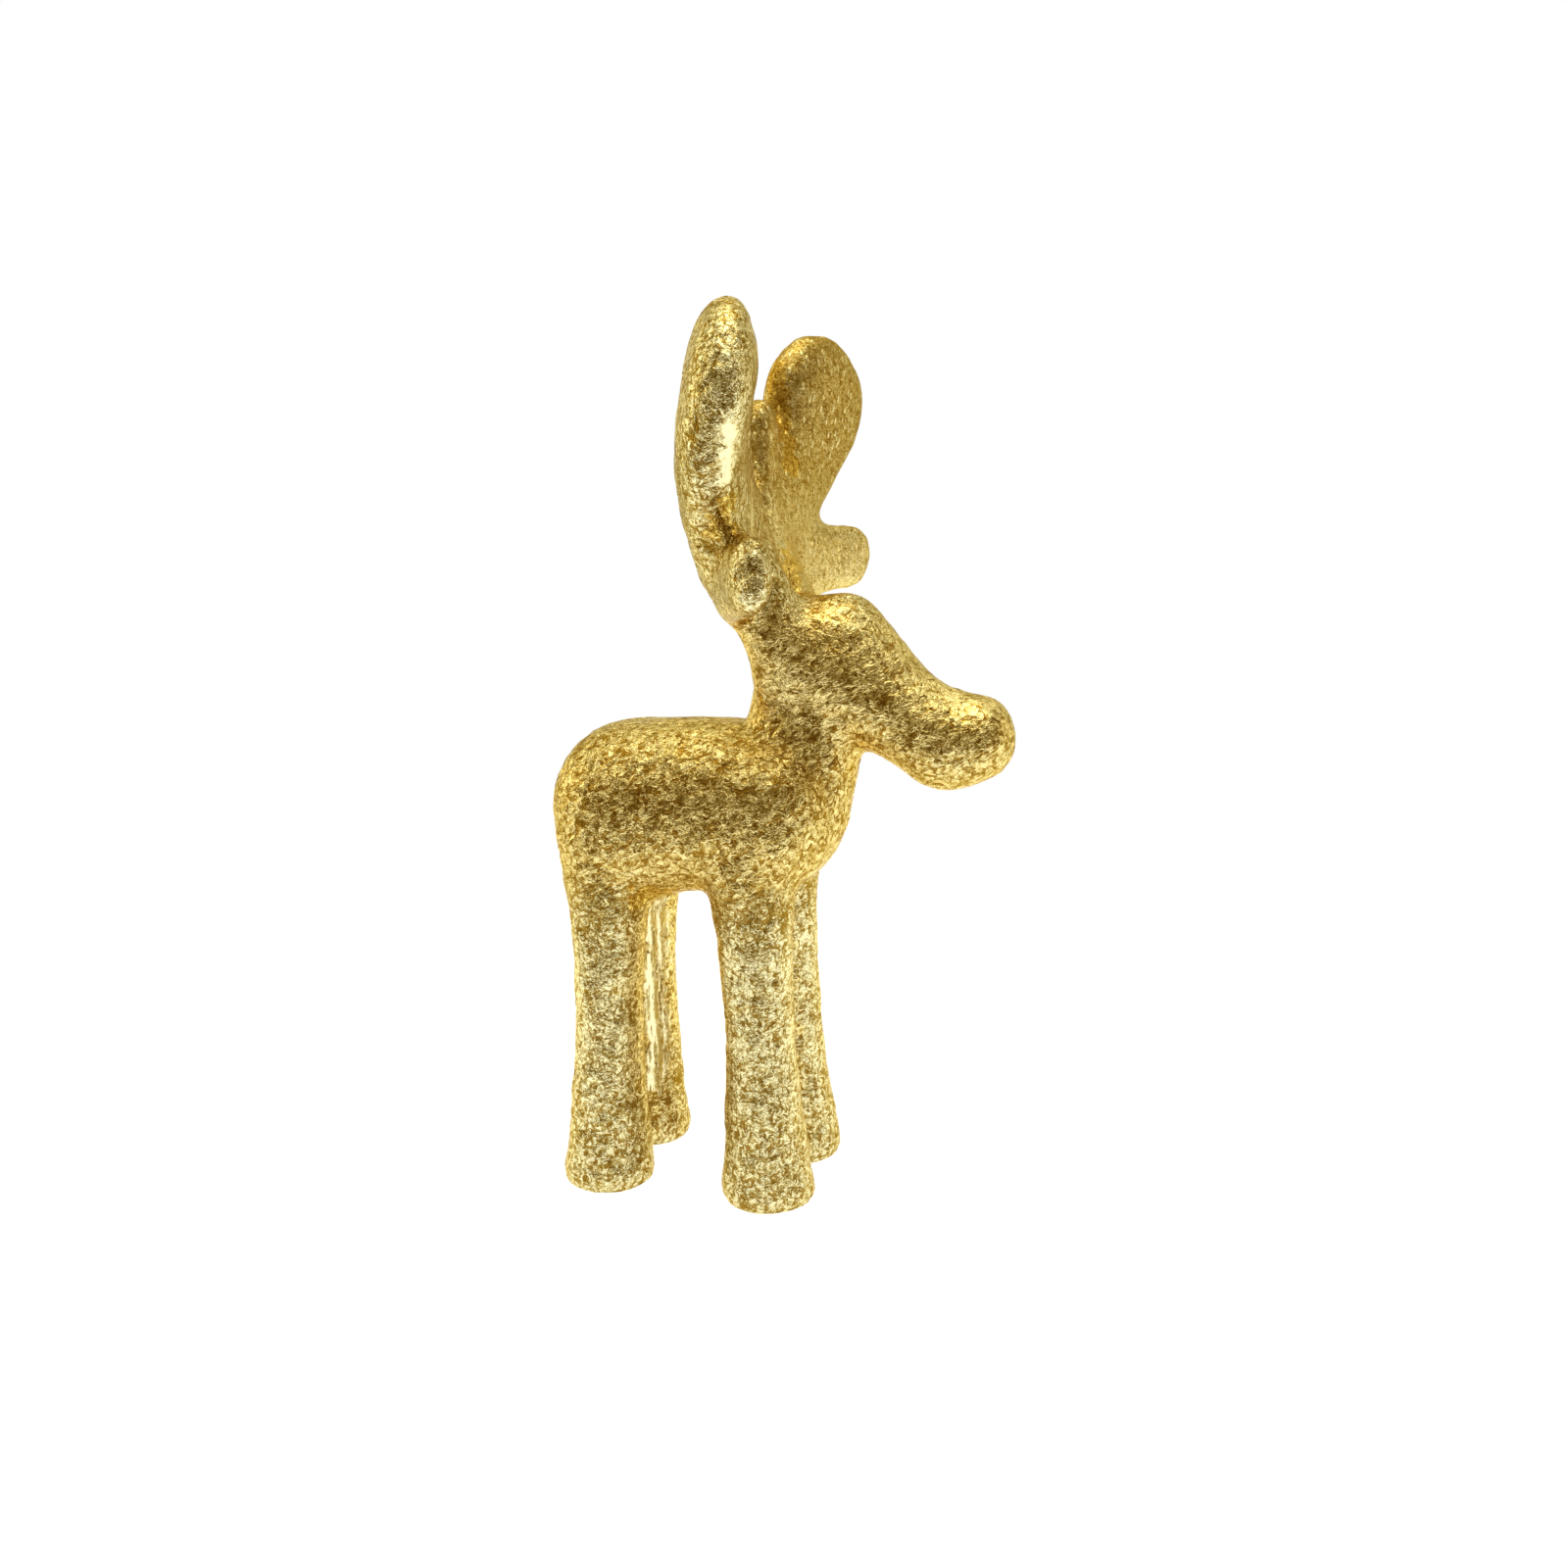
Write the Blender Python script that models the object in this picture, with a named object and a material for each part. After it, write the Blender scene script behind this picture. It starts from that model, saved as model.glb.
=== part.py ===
"""Standing deer figure, cast in resin in one piece.

The deer looks along +X, its left side is +Y, and it stands on the plane z = 0. Body, legs, neck, head and
antlers are closed lofts through a few stations. They overlap, a remesh melts them into one skin with
soft fillets, and the four feet are cut flat where they stand.
"""

import math

import bmesh
import bpy
from mathutils import Vector

MM = 0.001

# Legs: four tapering columns that flare towards the feet
WHEELBASE = 33.8 * MM            # from the rear hip to the front shoulder
HIP_SPREAD = 20.2 * MM           # between the left and the right leg, where they leave the body
FOOT_SPREAD = 25.4 * MM          # between the left and the right foot
FRONT_STRIDE = 4.2 * MM          # how far a front foot stands ahead of its shoulder
REAR_STRIDE = 1.3 * MM           # how far a rear foot stands behind its hip
FOOT_RADIUS = 11.1 * MM
ANKLE_RADIUS = 9.7 * MM
SHIN_RADIUS = 8.1 * MM
THIGH_RADIUS = 8.6 * MM
HIP_RADIUS = 11.7 * MM
FOOT_EDGE = 1.6 * MM             # rounding round the sole
SOLE_CUT = 0.5 * MM              # what the flat cut takes off under the feet

# Body: a rounded barrel, fuller at the rump
BELLY_CLEARANCE = 69.0 * MM      # from the ground to the barrel's underside at the middle
BARREL_DEPTH = 38.4 * MM
BARREL_WIDTH = 44.1 * MM
RUMP_DEPTH = 41.8 * MM
CHEST_DEPTH = 34.4 * MM
BACK_RISE = 1.2 * MM             # of the middle section's centre above the barrel's axis
CHEST_RISE = 1.1 * MM            # of the chest's
RUMP_SAG = 1.5 * MM              # of the rump's below it
RUMP_REACH = 15.3 * MM           # from the rear hip back to the rump's end
CHEST_REACH = 18.8 * MM          # from the shoulder forward to the chest's end

# Neck and head
NECK_WIDTH = 23.4 * MM
NECK_DEPTH = 26.1 * MM
NECK_BASE_WIDTH = 30.4 * MM
NECK_RISE = 32.5 * MM            # from the barrel's axis up to the head
NECK_LEAN = 4.3 * MM             # of the neck's top ahead of its base
CROWN_AHEAD = 0.8 * MM           # of the head's first section ahead of the neck's base
CROWN_RISE = 5.2 * MM            # and above the neck's top
CROWN_DEPTH = 23.3 * MM
CHEEK_DEPTH = 32.4 * MM
HEAD_WIDTH = 25.7 * MM
MUZZLE_DEPTH = 21.3 * MM
MUZZLE_WIDTH = 21.9 * MM
HEAD_REACH = 37.3 * MM           # from the crown forward to the muzzle's last full section
HEAD_DROP = 20.2 * MM            # how far the muzzle hangs below the crown
NOSE_LENGTH = 6.4 * MM

# Antlers: a stem that widens into a palm with one big lobe, a low outer lobe and a slim inner one
ANTLER_ROOT_SPREAD = 15.6 * MM
ANTLER_HEIGHT = 68.5 * MM        # from the root inside the crown to the top of the big lobe
ROOT_RISE = 1.0 * MM             # of the root above the crown's centre
STEM_WIDTH = 16.1 * MM
STEM_THICKNESS = 14.7 * MM
STEM_RISE = 19.2 * MM
STEM_SPLAY = 0.8 * MM
PALM_WIDTH = 25.0 * MM
WEB_RISE = 8.5 * MM              # the web between the lobes above the fork
WEB_SPLAY = 5.1 * MM
PALM_SETBACK = 11.5 * MM         # how far the palm stands behind the crown's centre
PALM_HINGE = 10.0 * MM           # where the palm starts to curve forward, from the middle plane
PALM_TURN = math.radians(2.0)
CUP_RADIUS = 131.8 * MM          # the palm's outer edge is swept forward round this radius
LOBE_WIDTH = 35.6 * MM
LOBE_THICKNESS = 14.0 * MM
LOBE_FORWARD = 2.3 * MM
LOBE_SPREAD = 73.2 * MM          # between the tops of the two big lobes, along the palms
LOBE_ROUND = 16.3 * MM           # length of the big lobe's rounded end
OUTER_LOBE_REACH = 36.7 * MM     # from the stem out to the outer lobe's last full section
OUTER_LOBE_DROP = 2.6 * MM       # of its axis under the fork
RIGHT_LOBE_DROP = 0.6 * MM       # the right antler's outer lobe sits this much lower
RIGHT_LOBE_BEND = 0.6 * MM       # and is bent this much further forward
OUTER_LOBE_WIDTH = 15.8 * MM
OUTER_LOBE_THICKNESS = 7.6 * MM
OUTER_LOBE_FORWARD = 7.6 * MM
OUTER_LOBE_ROUND = 7.1 * MM
INNER_LOBE_RISE = 28.5 * MM
INNER_LOBE_SPREAD = 20.8 * MM    # between the two inner lobes
INNER_LOBE_WIDTH = 10.6 * MM
INNER_LOBE_THICKNESS = 7.6 * MM
INNER_LOBE_FORWARD = 0.2 * MM

# Skin
SKIN_VOXEL = 1.15 * MM           # grid of the remesh that melts the lofts together
SKIN_PASSES = 16                 # smoothing passes that fillet the joins
FACET_SHARE = 0.105              # share of the skin's triangles that the solid keeps
RING_SIDES = 40                  # corners of a loft's section
RINGS_PER_SPAN = 8               # between two stations of a loft
CAP_RINGS = 7                    # in a loft's rounded end
SOLE_RINGS = 5                   # in a foot's rounded edge
BARREL_POWER = 2.4               # of the barrel's sections: 2 is an ellipse, more is squarer
LOBE_POWER = 2.3                 # of the antlers' sections
BURIED_CAP = 3.0 * MM            # length of the rounded ends inside another loft

GOLD = (0.78, 0.60, 0.24, 1.0)


def station(x, y, z, half_side, half_depth):
    """One section of a loft: its centre and its two half widths."""
    return (x, y, z, half_side, half_depth)


def through(stations, spans):
    """Catmull-Rom curve through the stations, with a few steps in each span."""
    first = [2 * a - b for a, b in zip(stations[0], stations[1])]
    last = [2 * a - b for a, b in zip(stations[-1], stations[-2])]
    row = [first, *stations, last]
    curve = []
    for i in range(len(stations) - 1):
        for step in range(spans):
            curve.append(blend(row[i:i + 4], step / spans))
    curve.append(tuple(stations[-1]))
    return curve


def blend(four, t):
    """Point between the middle two of four values, for each coordinate."""
    point = []
    for a, b, c, d in zip(*four):
        point.append(0.5 * (2 * b + (c - a) * t + (2 * a - 5 * b + 4 * c - d) * t ** 2
                            + (3 * b - a - 3 * c + d) * t ** 3))
    return tuple(point)


def rounded(angle, power):
    """Unit superellipse: power 2 is an ellipse, more is squarer."""
    c, s = math.cos(angle), math.sin(angle)
    share = 2.0 / power
    return math.copysign(abs(c) ** share, c), math.copysign(abs(s) ** share, s)


def as_is(point):
    return point


def add_loft(bm, stations, side, start_cap, end_cap, power=2.0, place=as_is):
    """Closed loft through the stations, with a rounded end of the given length at each end.

    side is the direction of the sections' half_side, and place maps a point to where it really lies.
    """
    sections = [(Vector(p[:3]), p[3], p[4]) for p in through(stations, RINGS_PER_SPAN)]
    start_way = (sections[0][0] - sections[1][0]).normalized()
    end_way = (sections[-1][0] - sections[-2][0]).normalized()
    start, end = [], []
    for i in range(1, CAP_RINGS):
        angle = 0.5 * math.pi * i / CAP_RINGS
        for cap, tip, way, length in ((start, sections[0], start_way, start_cap),
                                      (end, sections[-1], end_way, end_cap)):
            centre = tip[0] + way * length * math.sin(angle)
            cap.append((centre, tip[1] * math.cos(angle), tip[2] * math.cos(angle)))
    sections = start[::-1] + sections + end

    rings = []
    for i, (centre, half_side, half_depth) in enumerate(sections):
        before = sections[max(i - 1, 0)][0]
        after = sections[min(i + 1, len(sections) - 1)][0]
        along = (after - before).normalized()
        across = (side - along * side.dot(along)).normalized()
        depth = along.cross(across)
        ring = []
        for k in range(RING_SIDES):
            a, b = rounded(2 * math.pi * k / RING_SIDES, power)
            point = centre + across * half_side * a + depth * half_depth * b
            ring.append(bm.verts.new(place(point)))
        rings.append(ring)
    for lower, upper in zip(rings, rings[1:]):
        for k in range(RING_SIDES):
            n = (k + 1) % RING_SIDES
            bm.faces.new((lower[k], lower[n], upper[n], upper[k]))
    bm.faces.new(rings[0][::-1])
    bm.faces.new(rings[-1])


def barrel_axis():
    """Height of the barrel's axis above the ground."""
    return BELLY_CLEARANCE + 0.5 * BARREL_DEPTH


def add_leg(bm, hip_x, stride, side):
    """Leg from the sole up into the barrel; stride moves the foot, side is -1 or 1."""
    hip = barrel_axis() - 0.6 * HIP_RADIUS
    profile = [(0.0, FOOT_RADIUS), (0.13, ANKLE_RADIUS), (0.41, SHIN_RADIUS), (0.72, THIGH_RADIUS),
               (1.0, HIP_RADIUS)]
    stations = []
    for share, radius in profile:
        height = FOOT_EDGE - SOLE_CUT + share * hip
        x = hip_x + stride * (1 - share)
        y = side * 0.5 * (HIP_SPREAD * share + FOOT_SPREAD * (1 - share))
        stations.append(station(x, y, height, radius, radius))
    add_loft(bm, stations, Vector((1, 0, 0)), 0.0, 0.5 * HIP_RADIUS)
    foot = stations[0]
    add_sole(bm, Vector(foot[:3]), foot[3])


def add_sole(bm, centre, radius):
    """Rounded lower edge of a foot, under its first section."""
    stations = []
    for i in range(SOLE_RINGS + 1):
        angle = 0.5 * math.pi * i / SOLE_RINGS
        inset = FOOT_EDGE * (1 - math.cos(angle))
        drop = FOOT_EDGE * math.sin(angle)
        stations.append((centre.x, centre.y, centre.z - drop, radius - inset, radius - inset))
    stations.insert(0, (centre.x, centre.y, centre.z + FOOT_EDGE, radius * 0.98, radius * 0.98))
    add_loft(bm, stations[::-1], Vector((1, 0, 0)), 0.0, 0.0)


def add_barrel(bm):
    """Rump, middle and chest of the body."""
    rear = 0.16 * RUMP_REACH
    front = WHEELBASE + 0.42 * CHEST_REACH
    axis = barrel_axis()
    half = 0.5 * BARREL_WIDTH
    stations = [station(rear, 0, axis - RUMP_SAG, half, 0.5 * RUMP_DEPTH),
                station(0.5 * (rear + front), 0, axis + BACK_RISE, half, 0.5 * BARREL_DEPTH),
                station(front, 0, axis + CHEST_RISE, half, 0.5 * CHEST_DEPTH)]
    add_loft(bm, stations, Vector((0, 1, 0)), 1.16 * RUMP_REACH, 0.58 * CHEST_REACH, power=BARREL_POWER)


def neck_foot():
    """Where the neck's axis starts inside the chest."""
    return Vector((WHEELBASE + 0.42 * CHEST_REACH, 0, barrel_axis()))


def crown():
    """Centre of the head's first section, above the neck."""
    return neck_foot() + Vector((CROWN_AHEAD, 0, NECK_RISE + CROWN_RISE))


def add_neck(bm):
    foot = neck_foot()
    base = foot - Vector((0.08 * NECK_DEPTH, 0, 0))
    middle = foot + Vector((0.55 * NECK_LEAN, 0, 0.55 * NECK_RISE))
    top = foot + Vector((NECK_LEAN, 0, NECK_RISE))
    stations = [station(*base, 0.5 * NECK_BASE_WIDTH, 0.55 * NECK_DEPTH),
                station(*middle, 0.5 * NECK_WIDTH, 0.5 * NECK_DEPTH),
                station(*top, 0.5 * NECK_WIDTH, 0.5 * NECK_DEPTH)]
    add_loft(bm, stations, Vector((0, 1, 0)), 0.2 * NECK_DEPTH, 0.2 * NECK_DEPTH)


def add_head(bm):
    """Long head that hangs forward: crown, cheeks, nose bridge and a blunt muzzle."""
    start = crown()
    profile = [(0.0, 0.0, 0.95 * HEAD_WIDTH, CROWN_DEPTH),
               (0.19, 0.19, HEAD_WIDTH, CHEEK_DEPTH),
               (0.63, 0.72, 0.92 * MUZZLE_WIDTH + 0.08 * HEAD_WIDTH, 0.98 * MUZZLE_DEPTH),
               (0.9, 0.99, MUZZLE_WIDTH, 1.06 * MUZZLE_DEPTH),
               (1.12, 0.93, 0.88 * MUZZLE_WIDTH, 0.84 * MUZZLE_DEPTH)]
    stations = []
    for reach, drop, width, depth in profile:
        centre = start + Vector((reach * HEAD_REACH, 0, -drop * HEAD_DROP))
        stations.append(station(*centre, 0.5 * width, 0.5 * depth))
    add_loft(bm, stations, Vector((0, 1, 0)), 0.38 * CROWN_DEPTH, NOSE_LENGTH)


def cupped(point, mirror):
    """Bend a point of the flat antler (forward, outward, height) round the antler's cup."""
    forward, outward, height = point
    turn = PALM_TURN + (outward - PALM_HINGE) / CUP_RADIUS
    x = CUP_RADIUS * (math.cos(PALM_TURN) - math.cos(turn)) + forward * math.cos(turn)
    y = PALM_HINGE + CUP_RADIUS * (math.sin(turn) - math.sin(PALM_TURN)) - forward * math.sin(turn)
    return Vector((crown().x - PALM_SETBACK + x, mirror * y, height))


def add_antler(bm, mirror, outer_drop, outer_bend):
    """One antler; mirror is 1 for the left one and -1 for the right one."""
    root_out = 0.5 * ANTLER_ROOT_SPREAD
    root_height = crown().z + ROOT_RISE
    fork_height = root_height + STEM_RISE
    fork_out = root_out + STEM_SPLAY
    lobe_height = root_height + ANTLER_HEIGHT - LOBE_ROUND
    lobe_out = 0.5 * LOBE_SPREAD
    belly_height = fork_height + 0.62 * (lobe_height - fork_height)
    outer_height = fork_height - OUTER_LOBE_DROP - outer_drop

    stem = [station(PALM_SETBACK, 0.7 * root_out, root_height - 0.5 * STEM_RISE,
                    0.5 * STEM_WIDTH, 0.54 * STEM_THICKNESS),
            station(0.83 * PALM_SETBACK, root_out, root_height, 0.5 * STEM_WIDTH, 0.5 * STEM_THICKNESS),
            station(0.45 * PALM_SETBACK, 0.5 * (root_out + fork_out), 0.5 * (root_height + fork_height),
                    0.5 * STEM_WIDTH, 0.5 * STEM_THICKNESS),
            station(0, fork_out, fork_height, 0.5 * PALM_WIDTH, 0.5 * STEM_THICKNESS),
            station(0, fork_out + WEB_SPLAY, fork_height + WEB_RISE, 0.53 * PALM_WIDTH, 0.42 * STEM_THICKNESS)]
    big_lobe = [station(0, fork_out + 0.3 * WEB_SPLAY, fork_height - 0.12 * WEB_RISE,
                        0.45 * PALM_WIDTH, 0.5 * LOBE_THICKNESS),
                station(0, 0.84 * lobe_out, belly_height, 0.43 * LOBE_WIDTH, 0.5 * LOBE_THICKNESS),
                station(LOBE_FORWARD, lobe_out, lobe_height, 0.5 * LOBE_WIDTH, 0.5 * LOBE_THICKNESS)]
    outer_lobe = [station(0, fork_out, outer_height - 0.1 * OUTER_LOBE_WIDTH,
                          0.68 * OUTER_LOBE_WIDTH, 0.66 * OUTER_LOBE_THICKNESS),
                  station(OUTER_LOBE_FORWARD + outer_bend, fork_out + OUTER_LOBE_REACH, outer_height,
                          0.5 * OUTER_LOBE_WIDTH, 0.5 * OUTER_LOBE_THICKNESS)]
    inner_lobe = [station(0, fork_out - 0.25 * INNER_LOBE_WIDTH, fork_height - 0.38 * INNER_LOBE_WIDTH,
                          0.6 * INNER_LOBE_WIDTH, 0.5 * INNER_LOBE_THICKNESS),
                  station(INNER_LOBE_FORWARD, 0.5 * INNER_LOBE_SPREAD, fork_height + INNER_LOBE_RISE,
                          0.5 * INNER_LOBE_WIDTH, 0.5 * INNER_LOBE_THICKNESS)]
    for branch, end_cap in ((stem, BURIED_CAP), (big_lobe, LOBE_ROUND), (outer_lobe, OUTER_LOBE_ROUND),
                            (inner_lobe, 0.5 * INNER_LOBE_WIDTH)):
        along = Vector(branch[-1][:3]) - Vector(branch[0][:3])
        side = Vector((1, 0, 0)).cross(along).normalized()
        add_loft(bm, branch, side, BURIED_CAP, end_cap, power=LOBE_POWER, place=lambda p: cupped(p, mirror))


def centre_over_origin(bm):
    """Slide the lofts along X until the middle of their box is over the origin."""
    rear = min(vert.co.x for vert in bm.verts)
    front = max(vert.co.x for vert in bm.verts)
    bmesh.ops.translate(bm, vec=(-0.5 * (rear + front), 0, 0), verts=bm.verts)


def gold_material():
    material = bpy.data.materials.new("gold_foil")
    material.use_nodes = True
    shader = material.node_tree.nodes["Principled BSDF"]
    shader.inputs["Base Color"].default_value = GOLD
    shader.inputs["Metallic"].default_value = 1.0
    shader.inputs["Roughness"].default_value = 0.35
    return material


def sole_cutter():
    """Block under the ground plane that cuts the feet flat."""
    size = 4 * (WHEELBASE + FOOT_SPREAD)
    mesh = bpy.data.meshes.new("sole_cutter")
    bm = bmesh.new()
    bmesh.ops.create_cube(bm, size=size)
    bm.to_mesh(mesh)
    bm.free()
    cutter = bpy.data.objects.new("sole_cutter", mesh)
    cutter.location = (0, 0, -0.5 * size)
    cutter.hide_render = True
    cutter.display_type = "WIRE"
    bpy.context.collection.objects.link(cutter)
    return cutter


def deer():
    """All lofts in one mesh, melted into one skin and cut flat at the feet."""
    bm = bmesh.new()
    for side in (-1, 1):
        add_leg(bm, 0.0, -REAR_STRIDE, side)
        add_leg(bm, WHEELBASE, FRONT_STRIDE, side)
    add_antler(bm, 1, 0.0, 0.0)
    add_antler(bm, -1, RIGHT_LOBE_DROP, RIGHT_LOBE_BEND)
    add_barrel(bm)
    add_neck(bm)
    add_head(bm)
    bmesh.ops.recalc_face_normals(bm, faces=bm.faces)
    centre_over_origin(bm)
    mesh = bpy.data.meshes.new("deer")
    bm.to_mesh(mesh)
    bm.free()
    mesh.shade_smooth()
    figure = bpy.data.objects.new("deer", mesh)
    figure.data.materials.append(gold_material())
    bpy.context.collection.objects.link(figure)

    skin = figure.modifiers.new("skin", "REMESH")
    skin.mode = "VOXEL"
    skin.voxel_size = SKIN_VOXEL
    skin.use_smooth_shade = True
    fillets = figure.modifiers.new("fillets", "SMOOTH")
    fillets.factor = 0.5
    fillets.iterations = SKIN_PASSES
    facets = figure.modifiers.new("facets", "DECIMATE")
    facets.ratio = FACET_SHARE
    soles = figure.modifiers.new("soles", "BOOLEAN")
    soles.operation = "DIFFERENCE"
    soles.object = sole_cutter()
    return figure


def main():
    for thing in list(bpy.data.objects):
        bpy.data.objects.remove(thing, do_unlink=True)
    deer()


main()
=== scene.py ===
"""Standing deer figure, cast in resin and finished in crinkled gold foil, on a pale studio floor.

The figure is one piece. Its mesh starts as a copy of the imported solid, is remeshed finely, smoothed free of
facets and then given the casting's low relief: broad unevenness, creases, pits and a few single marks. The
foil's finer crinkles are in the material. All lengths are metres; the deer looks along +X and +Z is up.
"""

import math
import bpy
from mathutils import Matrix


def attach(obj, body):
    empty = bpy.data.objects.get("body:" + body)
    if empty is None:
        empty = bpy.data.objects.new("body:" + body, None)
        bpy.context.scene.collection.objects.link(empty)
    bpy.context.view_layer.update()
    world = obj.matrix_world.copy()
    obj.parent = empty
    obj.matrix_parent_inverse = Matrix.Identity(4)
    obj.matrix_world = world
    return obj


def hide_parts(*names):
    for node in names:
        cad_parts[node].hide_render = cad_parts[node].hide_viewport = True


bl_info = {
    "name": "Gilded Deer Figure",
    "version": (1, 0, 0),
    "blender": (4, 5, 0),
    "location": "View3D > Sidebar > Deer",
    "description": "Builds a cast deer figure with a gold foil finish, and the studio it stands in",
    "category": "Object",
}

import bpy
import numpy as np
from mathutils import Matrix, Vector, noise
from mathutils.bvhtree import BVHTree
from mathutils.kdtree import KDTree

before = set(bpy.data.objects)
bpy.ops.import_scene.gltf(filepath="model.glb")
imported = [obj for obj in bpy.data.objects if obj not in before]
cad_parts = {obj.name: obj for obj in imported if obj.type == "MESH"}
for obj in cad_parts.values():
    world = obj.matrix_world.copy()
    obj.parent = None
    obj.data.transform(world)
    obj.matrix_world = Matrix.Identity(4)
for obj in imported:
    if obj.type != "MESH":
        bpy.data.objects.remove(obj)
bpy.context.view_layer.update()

MM = 0.001
PIECE = "gilded_deer"

# Heights between which one part of the figure passes into the next
LEG_TOP = 66.0 * MM               # where the legs pass into the belly
ANTLER_FOOT = 130.0 * MM          # where the antlers leave the crown
LEG_FADE = (0.85 * LEG_TOP, 1.15 * LEG_TOP)
BODY_FADE = (LEG_TOP, LEG_TOP + 12.0 * MM)
ANTLER_FADE = (ANTLER_FOOT, ANTLER_FOOT + 8.0 * MM)
FOOT_FADE = (12.0 * MM, 34.0 * MM)
HEAD_FADE = (103.0 * MM, 115.0 * MM)
PALM_FADE = (146.0 * MM, 164.0 * MM)
SIDE_FADE = (-6.0 * MM, 6.0 * MM)  # across the figure, from the right antler to the left
SOLE_EDGE = 1.2 * MM              # height below which the mesh is pressed flat onto the ground

# Painted light and shade by part: how much paler than the barrel's the foil is on each part, the legs for the
# floor's light and the left antler less so for its shade
PALE_LEG_FLOOR_LIGHT = 1.12
PALE_HEAD = 0.55
PALE_RIGHT_ANTLER = 0.85
PALE_LEFT_ANTLER_SHADED = 0.4
PALE_CRUMPLES = 0.5
# painted shade: the feet darker near the ground, and the left antler's palm darker
FOOT_SHADE = 0.35                  # taken off again at the feet
PALM_SHADE = 0.65                  # and on the left antler's palm

# Relief: shares of the sizes and heights in SkinSettings
DRIFT_SIZE = 1.6                  # the creases wander over this many times their distance
DRIFT_REACH = 0.55
CREASE_CREST = 0.4                # of a crease's height that stands above the foil
CREASE_FALL = 2.0
PIT_RADIUS = 0.42
PIT_PATCH = 2.3                   # size of the patches that have more pits or fewer
PIT_COVER = 0.35
PIT_CONTRAST = 2.2
SMOOTH_LOSS = 0.85                # of the relief and the crinkles, in a smooth strip
CRUMPLE_GAIN = 1.2                # in crumpled foil
CALM_LOSS = 0.4                   # of the relief on the left antler

# Places where the foil lies smooth, crumpled or grooved, and where orange shade is painted into hollows:
# how far each reaches, and its line, in mm
# the smooth strips are real smoother foil and are also coloured paler, a painted reflection of the bright
# floor
SMOOTH_STRIPS = (
    (1.6, ((5.0, -48.2, 170.5), (4.0, -45.6, 166.0), (2.4, -42.5, 161.0))),
    (1.7, ((0.8, -20.8, 160.0), (1.0, -21.6, 155.0), (1.2, -23.0, 149.5))),
    (4.0, ((-32.6, 5.2, 63.0), (-33.2, 5.3, 43.0), (-33.6, 5.0, 17.0))),
)
# painted shade: orange, darker gold in hollows where the gold throws light onto itself
ORANGE_HOLLOW_SHADE = (
    (3.2, ((-6.4, 21.7, 187.0), (-3.9, 18.4, 175.0), (-1.5, 16.0, 164.0))),
    (3.4, ((0.5, -37.5, 156.0), (-1.5, -35.0, 151.5))),
    (4.0, ((2.4, 1.0, 139.0), (2.0, 4.0, 144.0))),
    (5.0, ((-28.0, -14.0, 70.0), (-24.0, -12.0, 71.0))),
)
CRUMPLES = (
    (5.5, ((7.9, -47.5, 147.0), (8.5, -47.5, 138.0))),
    (5.0, ((6.0, -50.0, 188.0), (6.0, -50.5, 176.0), (3.0, -44.0, 157.0))),
)
GROOVES = (
    (1.3, ((-6.3, -30.9, 147.4), (-3.0, -33.5, 147.6), (0.5, -36.0, 148.9), (2.5, -38.0, 150.5))),
)
MARK_CORE = 0.55                  # share of a mark's reach that has it in full
RAGGED_REACH = 0.8                # of the jags along a mark's edge, as a share of its reach
RAGGED_SIZE = 1.7 * MM
EASE = 0.5                        # how far one smoothing pass moves a point

# Hollows, which get painted shade: rays from the solid's corners that meet the solid again
HOLLOW_RAYS = 40
HOLLOW_REACH = 45.0 * MM
RAY_START = 0.5 * MM              # above the surface
RAY_RISE = 0.1                    # least cosine between a ray and the surface's normal
NEAREST_CORNERS = 4               # of the solid, that give a point its share
NEAREST_BLUR = 0.3 * MM

# Crinkles: how far they are warped, and how steep their facets are
HAMMERED = (2.2, 2.0)             # on the legs and the antlers
STREAKED = (2.2, 2.2)             # on the barrel and the head
GRAINED = (1.4, 1.0)              # the finest grain
WARP_SCALE = 0.6                  # of the noise that warps them
FACET_SCALE = 0.9
FOLD_ROUGHNESS = 0.55
FOLD_SHARPNESS = 9.0
FOLD_HEIGHT = 0.5
PATCH_SCALE = 0.25                # of the patches that have weaker folds
PATCH_RANGE = (0.35, 0.6)
PATCH_LEAST = 0.55                # strength of the weakest folds
CALM_FOLD_LOSS = 0.65             # on the left antler
LEG_FOLD_LOSS = 0.42              # of the folds' height, not their tone
SPECK_LENGTH = 1.8                # times a speck's width
SPECK_RADIUS = 0.29
SPECK_EDGE = 9.0
SPECK_HEIGHT = 0.9
SLIT_LENGTH = 8.0                 # times a slit's width
SLIT_LEVEL = 0.55
SLIT_EDGE = 14.0

# Tone of the foil: 0 is low gold, 1 is high gold. The tone follows the relief: low gold is painted shade in
# dips, pits, cracks and grooves, and high gold is painted highlight on ridges
TONE_LEVEL = 0.4
TONE_FOLD_SHADING = 0.8
TONE_GRAIN_SHADING = 0.8
TONE_SMOOTH_REFLECTION = 0.5
TONE_PAINTED_LIGHT = 0.46
TONE_CRACK_SHADE = -0.4
TONE_PIT_SHADE = -0.45
LOW_STOP = 0.15                   # places of the three golds on the tone
GOLD_STOP = 0.5
HIGH_STOP = 1.0
# painted shade: the left antler takes on the barrel's deeper gold
LEFT_SHADE_TINT = 0.8                   # how far the left antler takes on the barrel's deeper gold
HOLLOW_RANGE = (0.15, 0.75)       # of a hollow's depth, over which its colour comes in
ROUGH_SWING = 0.12                # between the foil's middle tone and its lowest or highest
ROUGH_CALM = 0.2                  # added on the left antler

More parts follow.
